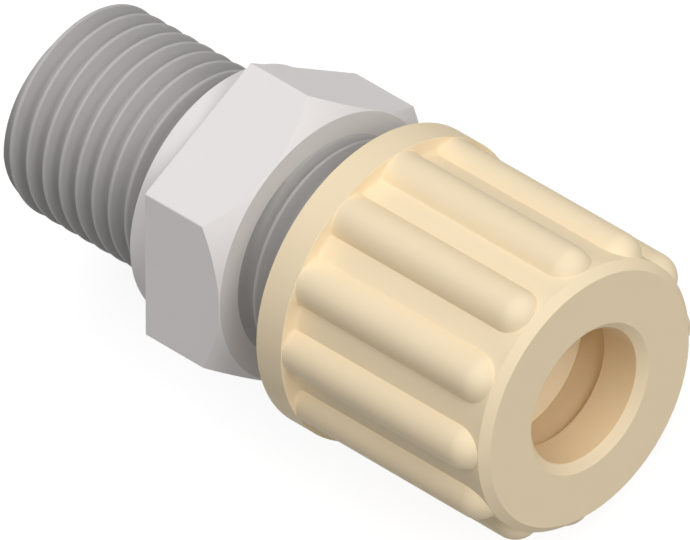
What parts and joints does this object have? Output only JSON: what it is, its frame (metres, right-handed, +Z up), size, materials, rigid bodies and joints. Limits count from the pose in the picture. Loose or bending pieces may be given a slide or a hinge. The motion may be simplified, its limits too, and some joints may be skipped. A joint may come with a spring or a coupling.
{
  "type": "male stud fitting",
  "caption": "Plastic male stud fitting: pipe-thread stud, collar and hexagon in one piece, ribbed union nut and clamping ring that grips a push-in tube.",
  "frame": {"origin": "on the axis at the middle of the overall length; the port seat, the collar's rear face, is at x = -8.375 mm", "axes": "+X along the axis from the stud to the nut's mouth, +Z up through a flat of the hexagon; the fitting lies on the nut's rim, 9.52 mm below the axis"},
  "size_m": [0.0412, 0.0196, 0.019],
  "materials": {
    "body_plastic": "moulded natural fluoropolymer, light grey-white, satin",
    "nut_plastic": "moulded beige plastic, satin"
  },
  "bodies": {
    "body": {"stud_body": "body_plastic"},
    "ring": {"clamping_ring": "nut_plastic"},
    "nut": {"union_nut": "nut_plastic"}
  },
  "joints": [
    {"name": "nut_travel", "type": "slide", "parent": "body", "child": "ring", "axis": [1, 0, 0], "range_m": [0, 0.009]},
    {"name": "nut_turn", "type": "hinge", "parent": "ring", "child": "nut", "pos_m": [0.00337, 0, 0], "axis": [1, 0, 0], "range_deg": [0, 2160]}
  ],
  "couplings": [
    {"joint": "nut_travel", "follows": "nut_turn", "m_per_rad": 0.0002387}
  ]
}
